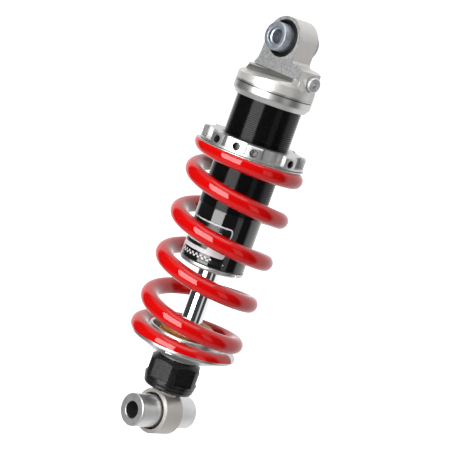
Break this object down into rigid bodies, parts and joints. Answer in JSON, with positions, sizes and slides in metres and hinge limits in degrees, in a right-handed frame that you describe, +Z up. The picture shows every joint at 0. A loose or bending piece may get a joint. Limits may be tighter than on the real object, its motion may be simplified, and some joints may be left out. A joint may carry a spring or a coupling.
{
  "type": "motorcycle rear shock absorber",
  "caption": "Upright coil-over damper: bushed eye and gas filling screw on a cast head, threaded body with a preload collar, wound coil over a bright rod, adjuster knob and bushed lower eye.",
  "frame": {"origin": "centre of the upper eye, on the axis of its sleeve", "axes": "+Z runs up the damper's axis towards the upper eye, X is the axis of both eyes' sleeves, and the gas filling screw faces -Y"},
  "size_m": [0.085, 0.085, 0.3286],
  "materials": {
    "upper_mount_head_finish": "bead blasted cast alloy with a machined band",
    "upper_bush_finish": "sintered liner",
    "upper_sleeve_finish": "zinc plated, bluish",
    "upper_seal_left_finish": "matt black lip seal",
    "upper_seal_right_finish": "matt black lip seal",
    "valve_screw_finish": "zinc plated",
    "valve_washer_finish": "zinc plated sealing washer",
    "damper_cylinder_finish": "black anodised",
    "end_cap_finish": "satin turned",
    "seal_head_finish": "turned",
    "seal_head_o_ring_finish": "moulded",
    "rod_bush_finish": "low friction polymer",
    "rod_seal_finish": "moulded",
    "rod_wiper_finish": "moulded",
    "top_out_bumper_finish": "moulded",
    "floating_piston_finish": "turned",
    "floating_piston_o_ring_finish": "moulded",
    "preload_collar_finish": "satin clear anodised",
    "collar_lock_screw_finish": "plain",
    "spring_washer_finish": "plain",
    "coil_spring_finish": "glossy red powder coat",
    "piston_rod_finish": "hard chromed and polished",
    "main_piston_finish": "turned",
    "piston_band_finish": "low friction polymer",
    "compression_shims_finish": "spring steel discs",
    "rebound_shims_finish": "spring steel discs",
    "piston_nut_finish": "zinc plated",
    "metering_needle_finish": "ground",
    "adjuster_pin_finish": "ground",
    "rebound_knob_finish": "black anodised",
    "bump_stop_finish": "amber polyurethane",
    "lower_spring_seat_finish": "satin turned",
    "lower_clevis_finish": "bead blasted",
    "clevis_set_screw_finish": "blackened",
    "lower_bush_finish": "sintered liner",
    "lower_sleeve_finish": "turned",
    "lower_seal_left_finish": "matt black lip seal",
    "lower_seal_right_finish": "matt black lip seal"
  },
  "bodies": {
    "damper": {"upper_mount_head": "upper_mount_head_finish", "upper_bush": "upper_bush_finish", "upper_seal_left": "upper_seal_left_finish", "upper_seal_right": "upper_seal_right_finish", "valve_screw": "valve_screw_finish", "valve_washer": "valve_washer_finish", "damper_cylinder": "damper_cylinder_finish", "end_cap": "end_cap_finish", "seal_head": "seal_head_finish", "seal_head_o_ring": "seal_head_o_ring_finish", "rod_bush": "rod_bush_finish", "rod_seal": "rod_seal_finish", "rod_wiper": "rod_wiper_finish", "top_out_bumper": "top_out_bumper_finish", "coil_spring": "coil_spring_finish"},
    "rod": {"piston_rod": "piston_rod_finish", "main_piston": "main_piston_finish", "piston_band": "piston_band_finish", "compression_shims": "compression_shims_finish", "rebound_shims": "rebound_shims_finish", "piston_nut": "piston_nut_finish", "bump_stop": "bump_stop_finish", "lower_spring_seat": "lower_spring_seat_finish", "lower_clevis": "lower_clevis_finish", "clevis_set_screw": "clevis_set_screw_finish", "lower_bush": "lower_bush_finish", "lower_seal_left": "lower_seal_left_finish", "lower_seal_right": "lower_seal_right_finish"},
    "gas_piston": {"floating_piston": "floating_piston_finish", "floating_piston_o_ring": "floating_piston_o_ring_finish"},
    "preload_washer": {"spring_washer": "spring_washer_finish"},
    "preload_collar": {"preload_collar": "preload_collar_finish", "collar_lock_screw": "collar_lock_screw_finish"},
    "rebound_knob": {"rebound_knob": "rebound_knob_finish"},
    "needle": {"metering_needle": "metering_needle_finish", "adjuster_pin": "adjuster_pin_finish"},
    "upper_sleeve": {"upper_sleeve": "upper_sleeve_finish"},
    "lower_sleeve": {"lower_sleeve": "lower_sleeve_finish"}
  },
  "joints": [
    {"name": "compression", "type": "slide", "parent": "damper", "child": "rod", "axis": [0, 0, 1], "range_m": [0, 0.044], "stiffness_N_per_m": 165000, "springref_m": -0.007, "deforming": ["coil_spring"]},
    {"name": "gas_piston_travel", "type": "slide", "parent": "damper", "child": "gas_piston", "axis": [0, 0, 1], "range_m": [0, 0.0071]},
    {"name": "collar_turn", "type": "hinge", "parent": "preload_washer", "child": "preload_collar", "pos_m": [0, 0, -0.0826], "axis": [0, 0, -1], "range_deg": [-1440, 2400]},
    {"name": "preload_travel", "type": "slide", "parent": "damper", "child": "preload_washer", "axis": [0, 0, -1], "range_m": [-0.00601, 0.01001], "deforming": ["coil_spring"]},
    {"name": "rebound_adjust", "type": "hinge", "parent": "rod", "child": "rebound_knob", "pos_m": [0, 0, -0.262], "axis": [0, 0, 1], "range_deg": [0, 540]},
    {"name": "needle_travel", "type": "slide", "parent": "rod", "child": "needle", "axis": [0, 0, 1], "range_m": [0, 0.00151]},
    {"name": "upper_sleeve_turn", "type": "hinge", "parent": "damper", "child": "upper_sleeve", "pos_m": [0, 0, 0], "axis": [1, 0, 0], "continuous": true},
    {"name": "lower_sleeve_turn", "type": "hinge", "parent": "rod", "child": "lower_sleeve", "pos_m": [0, 0, -0.295], "axis": [1, 0, 0], "continuous": true}
  ],
  "couplings": [
    {"joint": "gas_piston_travel", "follows": "compression", "ratio": 0.16},
    {"joint": "preload_travel", "follows": "collar_turn", "m_per_rad": 0.00023873},
    {"joint": "needle_travel", "follows": "rebound_adjust", "m_per_rad": 0.00015915}
  ]
}
